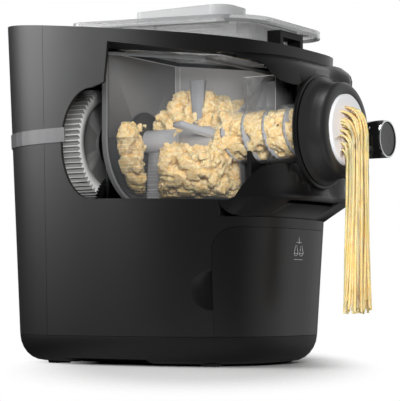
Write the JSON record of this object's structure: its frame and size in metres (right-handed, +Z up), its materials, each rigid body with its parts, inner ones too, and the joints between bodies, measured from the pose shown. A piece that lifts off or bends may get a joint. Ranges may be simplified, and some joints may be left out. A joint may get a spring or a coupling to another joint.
{
  "type": "electric pasta maker",
  "caption": "Countertop electric pasta maker with a cutaway side showing the drive gear, clear mixing chamber, screw press, extrusion disc with hanging strands, lid, knob and drawer.",
  "frame": {"origin": "centre of the overall box seen from above, on the surface it stands on", "axes": "+X towards the front where the pasta comes out, +Y away from the cutaway side, +Z up"},
  "size_m": [0.33, 0.2066, 0.3],
  "materials": {
    "charcoal": "fine satin texture, charcoal",
    "charcoal_dark": "satin, near black",
    "satin_band": "satin light grey",
    "gloss_black": "polished black",
    "clear_resin": "clear polished resin",
    "smoke_resin": "translucent frosted resin",
    "steel": "brushed",
    "gear_steel": "machined teeth",
    "zinc": "grey zinc coat",
    "chrome": "polished",
    "brass": "machined",
    "copper": "varnished copper windings",
    "board": "green circuit board",
    "rubber": "matt",
    "seal": "soft silicone",
    "acetal": "cream acetal",
    "grey_resin": "moulded grey resin",
    "white_resin": "moulded, light",
    "dough": "crumbly dough",
    "pasta": "fresh pasta, slightly rough",
    "aluminium": "cast"
  },
  "bodies": {
    "housing": {"base_tray": "charcoal_dark", "rubber_feet": "rubber", "load_cells": "aluminium", "main_frame": "zinc", "rear_cover": "charcoal", "side_cover_near": "charcoal", "side_cover_far": "charcoal", "trim_band": "satin_band", "top_deck": "charcoal_dark", "front_frame": "charcoal", "lid_catch": "gloss_black", "control_fascia": "gloss_black", "display_window": "gloss_black", "control_board": "board", "power_board": "board", "power_inlet": "charcoal_dark", "drawer_rails": "steel", "gearbox_plate": "zinc", "drive_housing": "charcoal_dark", "shaft_bearings": "steel", "idler_bearings": "steel", "motor_housing": "steel", "mixing_chamber": "clear_resin", "chamber_seal": "seal", "housing_screws": "steel"},
    "press_rotor": {"drive_gear": "gear_steel", "drive_shaft": "steel", "drive_coupling": "charcoal_dark", "mixing_paddle": "grey_resin", "extrusion_screw": "grey_resin", "dough_charge": "dough"},
    "idler_set": {"reduction_wheel": "acetal", "idler_gear": "steel", "idler_shaft": "steel"},
    "motor_rotor": {"motor_armature": "copper", "motor_pinion": "brass", "cooling_fan": "charcoal_dark"},
    "front_unit": {"front_panel": "charcoal", "disc_holder": "charcoal_dark", "shaping_disc": "white_resin", "pasta_strands": "pasta"},
    "lock": {"locking_ring": "charcoal_dark"},
    "knob_slider": {"knob_stem": "steel"},
    "knob": {"control_knob": "gloss_black", "knob_trim": "chrome"},
    "lid_unit": {"lid": "clear_resin"},
    "inlet_unit": {"inlet_cover": "smoke_resin"},
    "drawer": {"storage_drawer": "charcoal"}
  },
  "joints": [
    {"name": "rotor_spin", "type": "hinge", "parent": "housing", "child": "press_rotor", "pos_m": [-0.02609, 0, 0.191], "axis": [1, 0, 0], "continuous": true},
    {"name": "idler_spin", "type": "hinge", "parent": "housing", "child": "idler_set", "pos_m": [-0.09609, 0, 0.1325], "axis": [1, 0, 0], "continuous": true},
    {"name": "motor_spin", "type": "hinge", "parent": "housing", "child": "motor_rotor", "pos_m": [-0.04609, 0, 0.0965], "axis": [1, 0, 0], "continuous": true},
    {"name": "front_panel_slide", "type": "slide", "parent": "housing", "child": "front_unit", "axis": [1, 0, 0], "range_m": [0, 0.09]},
    {"name": "ring_turn", "type": "hinge", "parent": "front_unit", "child": "lock", "pos_m": [0.13891, 0, 0.191], "axis": [1, 0, 0], "range_deg": [0, 45]},
    {"name": "knob_press", "type": "slide", "parent": "housing", "child": "knob_slider", "axis": [-1, 0, 0], "range_m": [0, 0.0015], "stiffness_N_per_m": 400},
    {"name": "knob_turn", "type": "hinge", "parent": "knob_slider", "child": "knob", "pos_m": [0.13891, 0.062, 0.1885], "axis": [1, 0, 0], "continuous": true},
    {"name": "lid_lift", "type": "slide", "parent": "housing", "child": "lid_unit", "axis": [0, 0, 1], "range_m": [0, 0.05]},
    {"name": "inlet_lift", "type": "slide", "parent": "lid_unit", "child": "inlet_unit", "axis": [0, 0, 1], "range_m": [0, 0.03]},
    {"name": "drawer_slide", "type": "slide", "parent": "housing", "child": "drawer", "axis": [1, 0, 0], "range_m": [0, 0.043]}
  ],
  "couplings": [
    {"joint": "idler_spin", "follows": "rotor_spin", "ratio": -4.5714},
    {"joint": "motor_spin", "follows": "rotor_spin", "ratio": 22.857}
  ]
}
